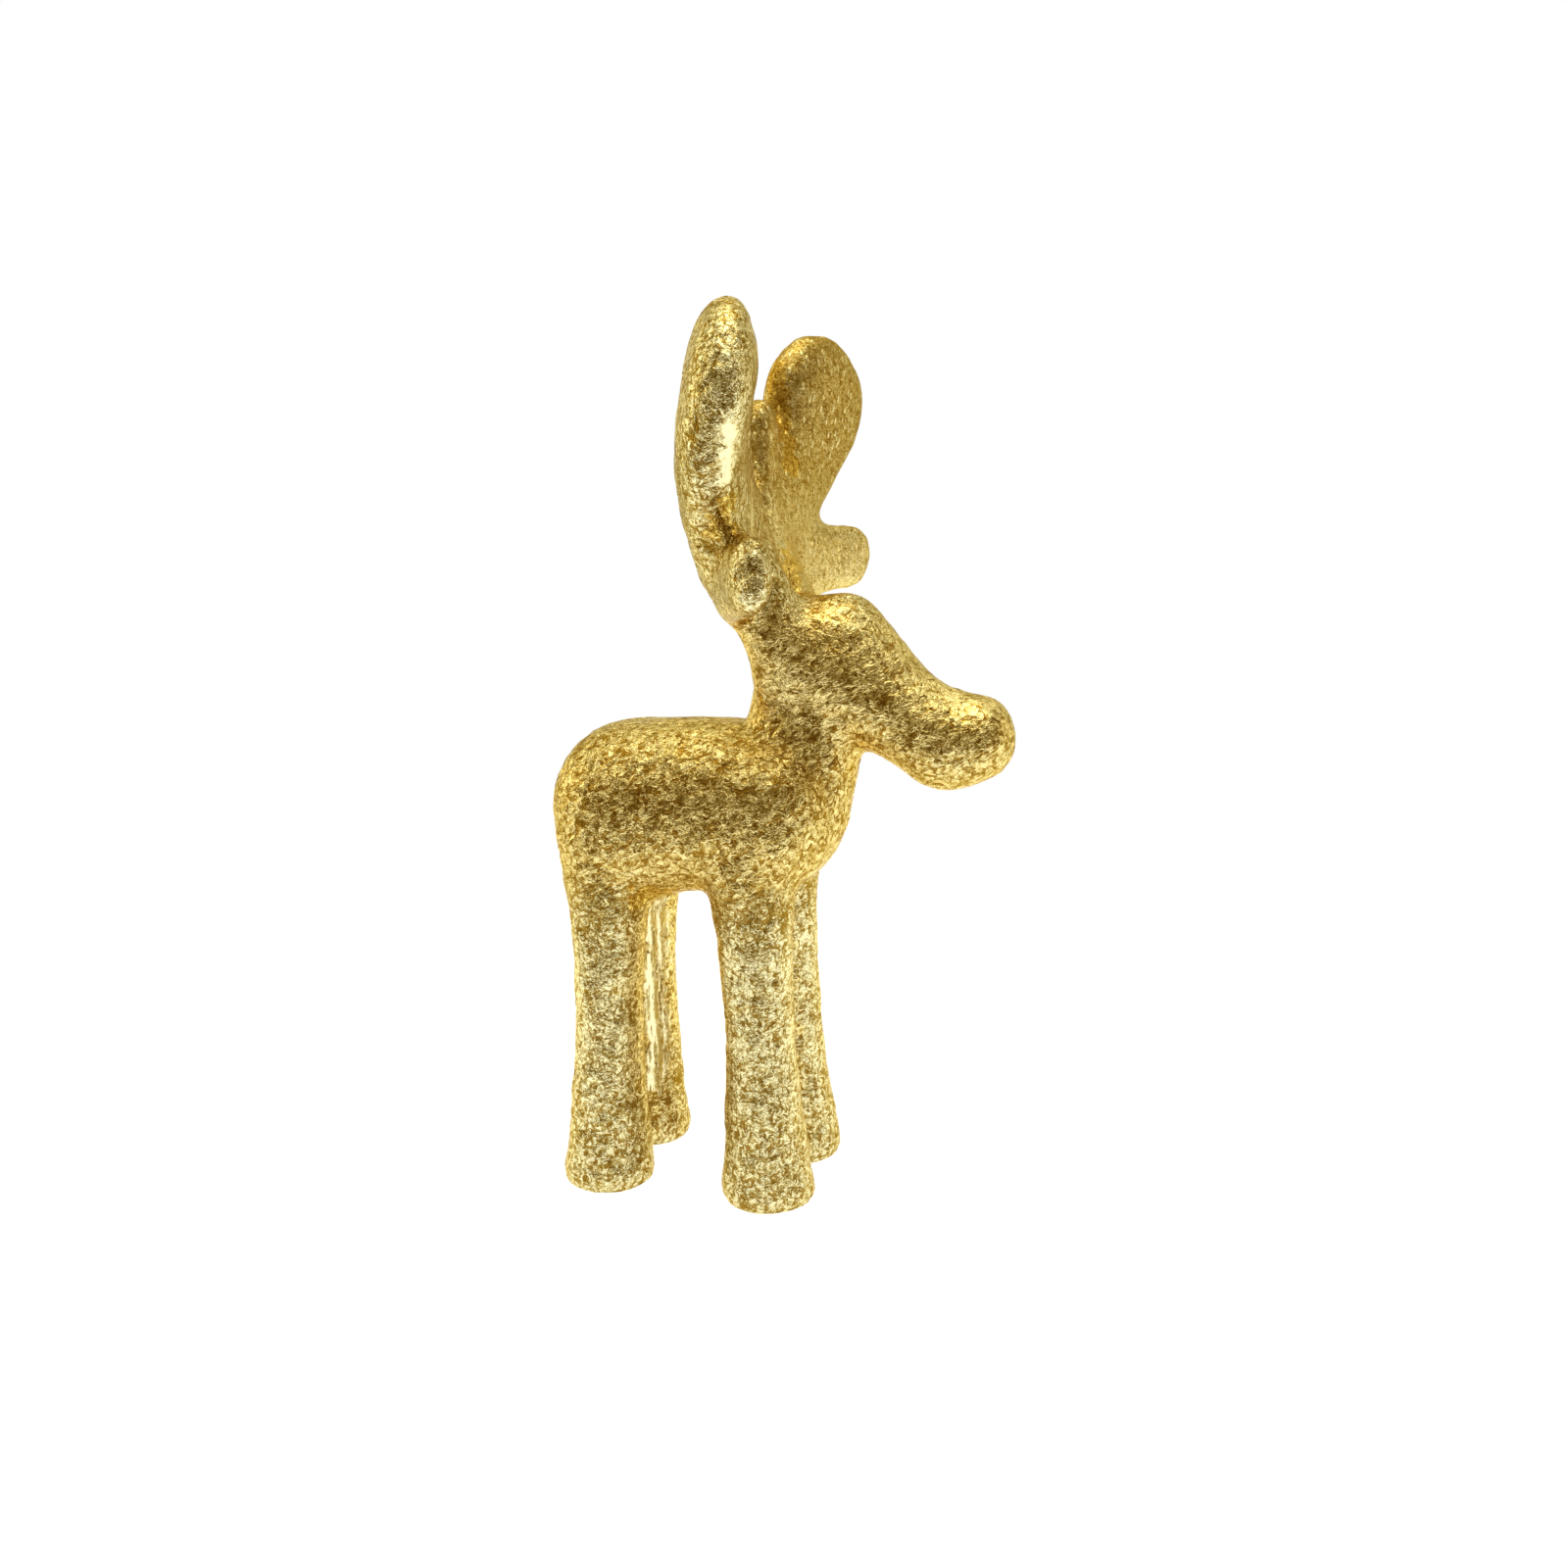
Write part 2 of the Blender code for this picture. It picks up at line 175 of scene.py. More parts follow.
# Light tent: brightness by height of the direction, and from behind the figure (0) to the camera (1)
TENT_ROOF = ((0.35, 0.0), (0.55, 0.28), (0.78, 0.68), (1.0, 0.8))
TENT_WALLS = ((0.0, 0.76), (0.36, 0.62), (0.5, 0.4), (0.62, 0.25), (0.72, 0.2), (1.0, 0.2))
TENT_GREEN = 0.59                 # share of green that the tent's light keeps where it is dim
TENT_GREEN_RISE = 0.54            # what that share gains with the brightness
TENT_BLUE_RISE = 1.14             # the same for blue, which starts from none
LAMP_COLOR = (1.0, 0.94, 0.74)
LAMP_AIM = (0.0, 0.0, 0.1)
SOFTBOXES = (                     # name, setting of its strength, place, sides
    ("top_softbox", "top_light", (0.0, 0.0, 0.7), (0.5, 0.5)),
    ("left_softbox", "left_light", (-0.8, 0.08, 0.35), (0.35, 0.6)),
    ("right_softbox", "right_light", (0.67, 0.4, 0.2), (0.35, 0.4)),
)
FLOOR_ROUGHNESS = 0.9
WHITE = (1.0, 1.0, 1.0, 1.0)

PHOTO_SIDE = 1600                 # pixels, on which the camera's values were measured
SENSOR_WIDTH = 36.0               # of the camera, in mm
CLIP_START = 0.01


class SkinSettings(bpy.types.PropertyGroup):
    """Mesh and relief of the cast figure."""

    grid: bpy.props.FloatProperty(
        name="Grid", description="Spacing of the fine mesh", default=0.82 * MM, unit="LENGTH", precision=5)
    smoothing: bpy.props.IntProperty(
        name="Smoothing", description="Passes that smooth away the solid's facets", default=14)
    swell: bpy.props.FloatProperty(
        name="Swell", description="What the smoothing took off, given back", default=0.15 * MM, unit="LENGTH",
        precision=5)
    wave_size: bpy.props.FloatProperty(
        name="Wave size", description="Length of the casting's broad unevenness", default=9.0 * MM,
        unit="LENGTH", precision=5)
    wave_height: bpy.props.FloatProperty(
        name="Wave height", description="Height of the broad unevenness", default=0.4 * MM, unit="LENGTH",
        precision=5)
    crease_size: bpy.props.FloatProperty(
        name="Crease size", description="Distance between the creases of the foil", default=4.2 * MM,
        unit="LENGTH", precision=5)
    crease_height: bpy.props.FloatProperty(
        name="Crease height", description="Height of the creases", default=0.2 * MM, unit="LENGTH",
        precision=5)
    pit_size: bpy.props.FloatProperty(
        name="Pit size", description="Distance between pits", default=2.6 * MM, unit="LENGTH", precision=5)
    pit_depth: bpy.props.FloatProperty(
        name="Pit depth", description="Depth of the pits", default=0.25 * MM, unit="LENGTH", precision=5)
    groove_depth: bpy.props.FloatProperty(
        name="Groove depth", description="Depth of the grooves", default=0.6 * MM, unit="LENGTH", precision=5)


class FoilSettings(bpy.types.PropertyGroup):
    """Colours and fineness of the gold foil."""

    # painted shade and highlight: the ramp puts low gold in the dips and pits and high gold on the ridges
    high: bpy.props.FloatVectorProperty(
        name="High gold", description="Colour of the foil's ridges", subtype="COLOR", size=3,
        default=(0.92, 0.84, 0.48))
    gold: bpy.props.FloatVectorProperty(
        name="Gold", description="Colour of the foil", subtype="COLOR", size=3, default=(0.55, 0.43, 0.14))
    low: bpy.props.FloatVectorProperty(
        name="Low gold", description="Colour in the foil's pits", subtype="COLOR", size=3,
        default=(0.31, 0.175, 0.022))
    edge: bpy.props.FloatVectorProperty(
        name="Edge gold", description="Colour of the foil seen at a low angle", subtype="COLOR", size=3,
        default=(0.97, 0.82, 0.46))
    # painted shade: a warmer, deeper gold on the barrel, head and left antler
    deep_shade_tint: bpy.props.FloatVectorProperty(
        name="Deep gold", description="What barrel, head and left antler keep of the foil's colour",
        subtype="COLOR", size=3, default=(1.03, 0.94, 0.72), max=2.0)
    # painted shade: the darker orange that the hollows' colour is multiplied by
    hollow: bpy.props.FloatVectorProperty(
        name="Hollow gold", description="What the deepest hollows keep of the foil's colour", subtype="COLOR",
        size=3, default=(1.05, 0.9, 0.48), max=2.0)
    crinkle_size: bpy.props.FloatProperty(
        name="Crinkle size", description="Distance between the fine crinkles", default=1.3 * MM,
        unit="LENGTH", precision=5)
    crinkle_height: bpy.props.FloatProperty(
        name="Crinkle height", description="Height of the fine crinkles", default=0.17 * MM, unit="LENGTH",
        precision=5)
    streak_length: bpy.props.FloatProperty(
        name="Streak length", description="How many times longer than wide the body's crinkles are",
        default=1.4)
    streak_angle: bpy.props.FloatProperty(
        name="Streak angle", description="How far the body's crinkles rise towards the head",
        default=math.radians(25), subtype="ANGLE")
    speck_size: bpy.props.FloatProperty(
        name="Speck size", description="Distance between the specks on the left antler", default=1.9 * MM,
        unit="LENGTH", precision=5)
    slit_size: bpy.props.FloatProperty(
        name="Slit size", description="Width of the slits in the leg's smooth strip", default=1.0 * MM,
        unit="LENGTH", precision=5)
    grain_size: bpy.props.FloatProperty(
        name="Grain size", description="Distance between the finest grains", default=0.6 * MM, unit="LENGTH",
        precision=5)
    grain_height: bpy.props.FloatProperty(
        name="Grain height", description="Height of the finest grains", default=0.08 * MM, unit="LENGTH",
        precision=5)
    roughness: bpy.props.FloatProperty(
        name="Roughness", description="Roughness of the foil at its middle tone", default=0.18,
        subtype="FACTOR")


class StudioSettings(bpy.types.PropertyGroup):
    """Floor, lights and camera."""

    floor: bpy.props.FloatVectorProperty(
        name="Floor", description="Colour of the floor", subtype="COLOR", size=3, default=(0.36, 0.4, 0.48))
    floor_glow: bpy.props.FloatProperty(
        name="Floor glow", description="Light of the light table under the floor", default=1.0)
    floor_front: bpy.props.FloatProperty(
        name="Floor front", description="From the figure to the floor's edge on its right side", default=0.16,
        unit="LENGTH")
    floor_back: bpy.props.FloatProperty(
        name="Floor back", description="From the figure to the floor's other edges", default=0.42,
        unit="LENGTH")
    top_light: bpy.props.FloatProperty(
        name="Top light", description="Strength of the softbox overhead", default=1.8, unit="POWER")
    left_light: bpy.props.FloatProperty(
        name="Left light", description="Strength of the softbox behind the tail", default=1.4, unit="POWER")
    right_light: bpy.props.FloatProperty(
        name="Right light", description="Strength of the softbox ahead of the muzzle", default=0.45,
        unit="POWER")
    azimuth: bpy.props.FloatProperty(
        name="Azimuth", description="Camera's turn from the figure's right side towards its head",
        default=math.radians(15.86), subtype="ANGLE")
    pitch: bpy.props.FloatProperty(
        name="Pitch", description="How far the camera looks down", default=math.radians(11.58),
        subtype="ANGLE")
    roll: bpy.props.FloatProperty(
        name="Roll", description="Camera's turn about its own axis", default=math.radians(-0.53),
        subtype="ANGLE")
    distance: bpy.props.FloatProperty(
        name="Distance", description="From the camera to its target", default=323.7 * MM, unit="LENGTH")
    target: bpy.props.FloatVectorProperty(
        name="Target", description="Point that the camera looks at", subtype="TRANSLATION", unit="LENGTH",
        size=3, default=(1.2 * MM, 0.0, 92.5 * MM))
    focal_pixels: bpy.props.FloatProperty(
        name="Focal length", description="Focal length in pixels of the photograph", default=1458.8)
    rise_pixels: bpy.props.FloatProperty(
        name="Rise", description="How many pixels the picture's centre lies above the lens axis", default=7.6)


# Figure: shares of its parts and marks

def ramp_between(low, high, values):
    """0 below low, 1 above high, smooth between."""
    t = np.clip((values - low) / (high - low), 0.0, 1.0)
    return t * t * (3.0 - 2.0 * t)


def antler_share(points):
    """1 on the antlers, 0 on the rest of the figure."""
    return ramp_between(*ANTLER_FADE, points[:, 2])


def calm_share(points):
    """1 on the left antler, whose foil lies calmer, 0 on the rest of the figure."""
    return antler_share(points) * ramp_between(*SIDE_FADE, points[:, 1])


def body_share(points):
    """1 on the barrel and the head, 0 on the legs and the antlers."""
    return ramp_between(*BODY_FADE, points[:, 2]) * (1.0 - antler_share(points))


def leg_share(points):
    """1 on the legs, 0 on the rest of the figure."""
    return 1.0 - ramp_between(*LEG_FADE, points[:, 2])


def painted_light_share(points):
    """How much paler the foil is than on the barrel: painted light on the legs, painted shade at the feet and
    on the left antler and its palm.
    """
    heights = points[:, 2]
    left = calm_share(points)
    right = antler_share(points) - left
    head = body_share(points) * ramp_between(*HEAD_FADE, heights)
    foot = 1.0 - ramp_between(*FOOT_FADE, heights)
    palm = left * ramp_between(*PALM_FADE, heights)
    legs = PALE_LEG_FLOOR_LIGHT * leg_share(points) - FOOT_SHADE * foot
    return (legs + PALE_HEAD * head + PALE_RIGHT_ANTLER * right + PALE_LEFT_ANTLER_SHADED * left
            - PALM_SHADE * palm)


def near_line(points, ragged, line, reach):
    """1 on a line of points in mm, 0 further from it than reach, with a ragged edge."""
    corners = np.array(line) * MM
    nearest = np.full(len(points), np.inf)
    for start, end in zip(corners[:-1], corners[1:]):
        along = end - start
        t = np.clip((points - start) @ along / (along @ along), 0.0, 1.0)
        nearest = np.minimum(nearest, np.linalg.norm(points - start - t[:, None] * along, axis=1))
    reach = reach * MM
    return 1.0 - ramp_between(MARK_CORE * reach, reach, nearest + RAGGED_REACH * reach * ragged)


def drawn_marks(points, ragged, lines):
    """The strongest of several lines' shares at each point."""
    share = np.zeros(len(points))
    for reach, line in lines:
        share = np.maximum(share, near_line(points, ragged, line, reach))
    return share


def even_rays():
    """Directions spread evenly over the sphere, along a spiral."""
    rays = []
    for i in range(HOLLOW_RAYS):
        height = 1.0 - (2.0 * i + 1.0) / HOLLOW_RAYS
        width = math.sqrt(1.0 - height * height)
        turn = i * math.pi * (3.0 - math.sqrt(5.0))
        rays.append(Vector((width * math.cos(turn), width * math.sin(turn), height)))
    return rays


def hollow_share(points):
    """How much of what each point faces is the figure itself, 0 to 1, which sets the painted shade in the
    hollows.
    """
    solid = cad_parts["deer"].data
    tree = BVHTree.FromPolygons([v.co for v in solid.vertices], [p.vertices for p in solid.polygons])
    rays = even_rays()
    corners = KDTree(len(solid.vertices))
    shares = []
    for i, vertex in enumerate(solid.vertices):
        corners.insert(vertex.co, i)
        start = vertex.co + vertex.normal * RAY_START
        seen = met = 0.0
        for ray in rays:
            facing = ray.dot(vertex.normal)
            if facing > RAY_RISE:
                seen += facing
                if tree.ray_cast(start, ray, HOLLOW_REACH)[0] is not None:
                    met += facing
        shares.append(met / seen)
    corners.balance()
    result = np.empty(len(points))
    for i, co in enumerate(points):
        found = corners.find_n(co, NEAREST_CORNERS)
        weights = [1.0 / (gap + NEAREST_BLUR) for _, _, gap in found]
        result[i] = sum(shares[k] * w for (_, k, _), w in zip(found, weights)) / sum(weights)
    return result


# Figure: mesh

def relief(points, settings):
    """Height of the casting's relief at each point, and the masks that the foil's material reads."""
    count = len(points)
    wave, crease, pit, ragged = (np.empty(count) for _ in range(4))
    for i, co in enumerate(Vector(p) for p in points):
        wave[i] = noise.noise(co / settings.wave_size)
        drift = noise.noise_vector(co / (DRIFT_SIZE * settings.crease_size)) * DRIFT_REACH
        crease[i] = CREASE_CREST - CREASE_FALL * abs(noise.noise(co / settings.crease_size + drift))
        gaps, _ = noise.voronoi(co / settings.pit_size + drift)
        patch = noise.noise(co / (PIT_PATCH * settings.pit_size) + drift * 2.0)
        cover = min(1.0, max(0.0, PIT_COVER + PIT_CONTRAST * patch))
        pit[i] = max(0.0, 1.0 - gaps[0] / PIT_RADIUS) * cover
        ragged[i] = noise.noise(co / RAGGED_SIZE)
    smooth = drawn_marks(points, ragged, SMOOTH_STRIPS)
    groove = drawn_marks(points, ragged, GROOVES)
    orange_hollow_shade = drawn_marks(points, ragged, ORANGE_HOLLOW_SHADE)
    crumpled = drawn_marks(points, ragged, CRUMPLES)
    calm = calm_share(points)
    strength = (1.0 - SMOOTH_LOSS * smooth) * (1.0 + CRUMPLE_GAIN * crumpled) * (1.0 - CALM_LOSS * calm)
    height = (settings.wave_height * wave
              + strength * (settings.crease_height * crease - settings.pit_depth * pit)
              - settings.groove_depth * groove)
    masks = {
        "pit": np.maximum(pit * (1.0 - smooth), groove),
        "smooth": smooth * (1.0 - groove),
        "calm": calm,
        "body": body_share(points),
        "leg": leg_share(points),
        # painted light and shade by part, with crumpled foil paler
        "pale": painted_light_share(points) + PALE_CRUMPLES * crumpled,
        # painted shade in the hollows, from their depth and the listed orange marks
        "hollow": np.maximum(hollow_share(points), orange_hollow_shade) * (1.0 - smooth),
    }
    return height, masks


def fine_skin(settings):
    """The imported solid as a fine, smooth mesh."""
    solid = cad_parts["deer"]
    piece = bpy.data.objects.new(PIECE, solid.data.copy())
    bpy.context.scene.collection.objects.link(piece)
    piece.data.materials.clear()
    skin = piece.modifiers.new("skin", "REMESH")
    skin.mode = "VOXEL"
    skin.voxel_size = settings.grid
    skin.use_smooth_shade = True
    ease = piece.modifiers.new("ease", "SMOOTH")
    ease.factor = EASE
    ease.iterations = settings.smoothing
    graph = bpy.context.evaluated_depsgraph_get()
    mesh = bpy.data.meshes.new_from_object(piece.evaluated_get(graph))
    piece.modifiers.clear()
    old = piece.data
    piece.data = mesh
    mesh.name = PIECE
    bpy.data.meshes.remove(old)
    return piece


def read_vectors(values, name, count):
    """A mesh collection's vectors, as rows of an array."""
    flat = np.empty(3 * count, np.float32)
    values.foreach_get(name, flat)
    return flat.reshape(-1, 3).astype(float)


def add_relief(piece, settings):
    """Push the fine mesh out by its relief, but leave the soles flat on the ground."""
    mesh = piece.data
    count = len(mesh.vertices)
    points = read_vectors(mesh.vertices, "co", count)
    normals = read_vectors(mesh.vertex_normals, "vector", count)
    heights, masks = relief(points, settings)
    moved = points + normals * (settings.swell + heights)[:, None]
    low = points[:, 2] < SOLE_EDGE
    moved[low, 2] = points[low, 2] * points[low, 2] / SOLE_EDGE
    moved[:, 2] = np.maximum(moved[:, 2], 0.0)
    mesh.vertices.foreach_set("co", moved.astype(np.float32).ravel())
    for name, values in masks.items():
        layer = mesh.attributes.new(name, "FLOAT", "POINT")
        layer.data.foreach_set("value", values.astype(np.float32))
    mesh.update()


# Shader nodes

def feed(tree, value, socket):
    """Link an output to an input, or set the input to a plain value."""
    if isinstance(value, bpy.types.NodeSocket):
        tree.links.new(value, socket)
    else:
        socket.default_value = value


def put(tree, kind, **values):
    """Add a node; values are its properties, or its inputs where the name is a socket's."""
    node = tree.nodes.new(kind)
    for name, value in values.items():
        if hasattr(node, name):
            setattr(node, name, value)
        else:
            feed(tree, value, node.inputs[name.replace("_", " ")])
    return node


def maths(tree, operation, a, b=0.0, clamp=False):
    """Math node on two sockets or numbers; gives its output."""
    node = put(tree, "ShaderNodeMath", operation=operation, use_clamp=clamp)
    feed(tree, a, node.inputs[0])
    feed(tree, b, node.inputs[1])
    return node.outputs[0]


def weighted(tree, start, terms, clamp=False):
    """start, plus each of the terms' sockets times its weight; gives the last output."""
    value = start
    for i, (socket, weight) in enumerate(terms):
        last = i == len(terms) - 1
        value = maths(tree, "ADD", value, maths(tree, "MULTIPLY", socket, weight), clamp and last)
    return value


def all_but(tree, mask, loss):
    """1 where the mask is 0, and 1 - loss where it is 1."""
    return maths(tree, "SUBTRACT", 1.0, maths(tree, "MULTIPLY", mask, loss))


def vectors(tree, operation, a, b):
    """Vector Math node on two sockets or values; gives its output."""
    node = put(tree, "ShaderNodeVectorMath", operation=operation)
    feed(tree, a, node.inputs[0])
    feed(tree, b, node.inputs["Scale"] if operation == "SCALE" else node.inputs[1])
    return node.outputs["Value" if operation == "DOT_PRODUCT" else "Vector"]


def mix_values(tree, share, a, b):
    """Mix node from a to b on numbers; gives its output."""
    node = put(tree, "ShaderNodeMix", data_type="FLOAT", Factor=share)
    feed(tree, a, node.inputs[2])
    feed(tree, b, node.inputs[3])
    return node.outputs[0]


def mix_colors(tree, blend_type, share, a, b):
    """Mix node from a to b on colours; gives its output."""
    node = put(tree, "ShaderNodeMix", data_type="RGBA", blend_type=blend_type, Factor=share)
    feed(tree, a, node.inputs[6])
    feed(tree, b, node.inputs[7])
    return node.outputs[2]


def mapped(tree, place, scale, angle=0.0):
    """Mapping node: the place in units of scale, along axes turned by angle about Y; gives its output."""
    node = put(tree, "ShaderNodeMapping", vector_type="TEXTURE", Vector=place, Scale=scale)
    node.inputs["Rotation"].default_value = (0.0, angle, 0.0)
    return node.outputs[0]


# Foil

def crinkle_group():
    """Shader node group: crumpled foil, as facets that each lean their own way and thin sharp folds."""
    group = bpy.data.node_groups.new("foil_crinkle", "ShaderNodeTree")
    for name, kind, way in (("Position", "NodeSocketVector", "INPUT"), ("Size", "NodeSocketFloat", "INPUT"),
                            ("Warp", "NodeSocketFloat", "INPUT"), ("Facets", "NodeSocketFloat", "INPUT"),
                            ("Height", "NodeSocketFloat", "OUTPUT"), ("Fold", "NodeSocketFloat", "OUTPUT")):
        group.interface.new_socket(name, in_out=way, socket_type=kind)
    given = group.nodes.new("NodeGroupInput").outputs
    result = group.nodes.new("NodeGroupOutput").inputs
    spread = put(group, "ShaderNodeCombineXYZ", X=given["Size"], Y=given["Size"], Z=given["Size"])
    scaled = vectors(group, "DIVIDE", given["Position"], spread.outputs[0])
    drift = put(group, "ShaderNodeTexNoise", Vector=scaled, Scale=WARP_SCALE, Detail=1.0)
    centred = vectors(group, "SUBTRACT", drift.outputs["Color"], (0.5, 0.5, 0.5))
    warped = vectors(group, "ADD", scaled, vectors(group, "SCALE", centred, given["Warp"]))

    folds = put(group, "ShaderNodeTexNoise", Vector=warped, Scale=1.0, Detail=2.0,
                Roughness=FOLD_ROUGHNESS)
    away = maths(group, "ABSOLUTE", maths(group, "SUBTRACT", folds.outputs[0], 0.5))
    fold = maths(group, "SUBTRACT", 1.0, maths(group, "MULTIPLY", away, FOLD_SHARPNESS), clamp=True)
    patches = put(group, "ShaderNodeTexNoise", Vector=scaled, Scale=PATCH_SCALE, Detail=1.0)
    least, most = PATCH_RANGE
    dense = put(group, "ShaderNodeMapRange", Value=patches.outputs[0], From_Min=least, From_Max=most,
                To_Min=PATCH_LEAST)
    fold = maths(group, "MULTIPLY", fold, dense.outputs[0])
    feed(group, fold, result["Fold"])

    cells = put(group, "ShaderNodeTexVoronoi", Vector=warped, Scale=FACET_SCALE)
    lean = vectors(group, "SUBTRACT", cells.outputs["Color"], (0.5, 0.5, 0.5))
    reach = vectors(group, "SUBTRACT", warped, cells.outputs["Position"])
    facet = maths(group, "MULTIPLY", vectors(group, "DOT_PRODUCT", lean, reach), given["Facets"])
    feed(group, weighted(group, facet, [(fold, FOLD_HEIGHT)]), result["Height"])
    return group


def crinkle(tree, group, where, size, look):
    """One layer of crinkles; gives its outputs."""
    warp, facets = look
    node = put(tree, "ShaderNodeGroup", node_tree=group)
    for name, value in (("Position", where), ("Size", size), ("Warp", warp), ("Facets", facets)):
        feed(tree, value, node.inputs[name])
    return node.outputs


def foil_specks(tree, settings, place):
    """Long specks that stand out of the calm foil."""
    width = settings.speck_size
    seeds = put(tree, "ShaderNodeTexVoronoi", Scale=1.0,
                Vector=mapped(tree, place, (width, width, width * SPECK_LENGTH)))
    inside = maths(tree, "SUBTRACT", SPECK_RADIUS, seeds.outputs["Distance"])
    return maths(tree, "MULTIPLY", inside, SPECK_EDGE, clamp=True)


def foil_slits(tree, settings, place):
    """Upright slits."""
    width = settings.slit_size
    strands = put(tree, "ShaderNodeTexNoise", Scale=1.0,
                  Vector=mapped(tree, place, (width, width, width * SLIT_LENGTH)))
    above = maths(tree, "SUBTRACT", strands.outputs[0], SLIT_LEVEL)
    return maths(tree, "MULTIPLY", above, SLIT_EDGE, clamp=True)


def foil_layers(tree, settings, masks):
    """Height of the foil's folds and of its grain, and the cracks of the pale foil, which darken the tone as
    painted shade.
    """
    place = put(tree, "ShaderNodeTexCoord").outputs["Object"]
    group = crinkle_group()
    along = mapped(tree, place, (settings.streak_length, 1.0, 1.0), -settings.streak_angle)
    hammered = crinkle(tree, group, place, settings.crinkle_size, HAMMERED)
    streaked = crinkle(tree, group, along, settings.crinkle_size, STREAKED)
    grained = crinkle(tree, group, place, settings.grain_size, GRAINED)

    body, leg, calm, smooth = masks["body"], masks["leg"], masks["calm"], masks["smooth"]
    cracked = maths(tree, "SUBTRACT", 1.0, maths(tree, "MAXIMUM", body, calm))
    # the cracks also darken the tone, painted shade
    crack = maths(tree, "MULTIPLY", hammered["Fold"], cracked)
    folds = mix_values(tree, body, hammered["Height"], streaked["Height"])
    folds = maths(tree, "SUBTRACT", folds, crack)
    bare = all_but(tree, smooth, SMOOTH_LOSS)
    folds = maths(tree, "MULTIPLY", folds,
                  maths(tree, "MULTIPLY", all_but(tree, calm, CALM_FOLD_LOSS), bare))
    # specks and slits also move the tone: painted highlight on the specks, painted shade in the slits
    speck = maths(tree, "MULTIPLY", foil_specks(tree, settings, place),
                  maths(tree, "MULTIPLY", calm, SPECK_HEIGHT))
    slit = maths(tree, "MULTIPLY", foil_slits(tree, settings, place), maths(tree, "MULTIPLY", smooth, leg))
    folds = maths(tree, "SUBTRACT", maths(tree, "ADD", folds, speck), slit)
    grain = maths(tree, "MULTIPLY", grained["Height"], bare)
    return folds, grain, crack


def foil_color(tree, settings, tone, masks):
    """Gold by its tone, with painted shade: deeper on the barrel, head and left antler, and deepest and most
    orange in the hollows.
    """
    ramp = put(tree, "ShaderNodeValToRGB", Fac=tone)
    stops = ramp.color_ramp.elements
    stops[0].position, stops[0].color = LOW_STOP, (*settings.low, 1.0)
    stops[1].position, stops[1].color = HIGH_STOP, (*settings.high, 1.0)
    stops.new(GOLD_STOP).color = (*settings.gold, 1.0)
    left = maths(tree, "MULTIPLY", masks["calm"], LEFT_SHADE_TINT)
    # painted shade: warmer, deeper gold on the barrel, head and left antler
    deep_shade_tint = mix_colors(tree, "MULTIPLY", maths(tree, "MAXIMUM", masks["body"], left), ramp.outputs["Color"],
                      (*settings.deep_shade_tint, 1.0))
    # painted shade: darker and more orange in the hollows
    least, most = HOLLOW_RANGE
    depth = put(tree, "ShaderNodeMapRange", Value=masks["hollow"], From_Min=least, From_Max=most)
    return mix_colors(tree, "MULTIPLY", depth.outputs[0], deep_shade_tint, (*settings.hollow, 1.0))


def foil_material(settings):
    """Crinkled gold foil: a metal whose roughness follows its crinkles and whose colour carries painted shade
    in their dips and painted highlight on their tops.
    """
    material = bpy.data.materials.new("gold_foil")
    material.use_nodes = True
    tree = material.node_tree
    shader = tree.nodes["Principled BSDF"]
    shader.inputs["Metallic"].default_value = 1.0
    shader.inputs["Specular Tint"].default_value = (*settings.edge, 1.0)
    masks = {}
    for name in ("pit", "smooth", "calm", "body", "leg", "pale", "hollow"):
        masks[name] = put(tree, "ShaderNodeAttribute", attribute_name=name).outputs["Fac"]

    folds, grain, crack = foil_layers(tree, settings, masks)
    level = weighted(tree, TONE_LEVEL, [
        (masks["smooth"], TONE_SMOOTH_REFLECTION), (masks["pale"], TONE_PAINTED_LIGHT), (crack, TONE_CRACK_SHADE)])
    # tone from the height of the folds and grain: painted shade in their dips, painted highlight on their
    # tops
    tone = weighted(tree, maths(tree, "MULTIPLY", folds, TONE_FOLD_SHADING), [(grain, TONE_GRAIN_SHADING)])
    # pits and grooves darken the tone, painted shade
    tone = weighted(tree, maths(tree, "ADD", tone, level), [(masks["pit"], TONE_PIT_SHADE)], clamp=True)
    feed(tree, foil_color(tree, settings, tone, masks), shader.inputs["Base Color"])
    rough = weighted(tree, settings.roughness + ROUGH_SWING,
                     [(tone, -2.0 * ROUGH_SWING), (masks["calm"], ROUGH_CALM)])
    feed(tree, rough, shader.inputs["Roughness"])

    height = maths(tree, "MULTIPLY", folds, all_but(tree, masks["leg"], LEG_FOLD_LOSS))
    coarse = put(tree, "ShaderNodeBump", Height=height, Distance=settings.crinkle_height, Strength=1.0)
    fine = put(tree, "ShaderNodeBump", Height=grain, Distance=settings.grain_height, Strength=1.0,
               Normal=coarse.outputs["Normal"])
    feed(tree, fine.outputs["Normal"], shader.inputs["Normal"])
    return material


# Studio

def softbox(name, place, sides, power):
    """Area light that shines from place towards the figure."""
    lamp = bpy.data.lights.new(name, "AREA")
    lamp.shape = "RECTANGLE"
    lamp.size, lamp.size_y = sides
    lamp.energy = power
    lamp.color = LAMP_COLOR
    box = bpy.data.objects.new(name, lamp)
    box.location = place
    box.rotation_euler = (Vector(LAMP_AIM) - Vector(place)).to_track_quat("-Z", "Y").to_euler()
    bpy.context.scene.collection.objects.link(box)


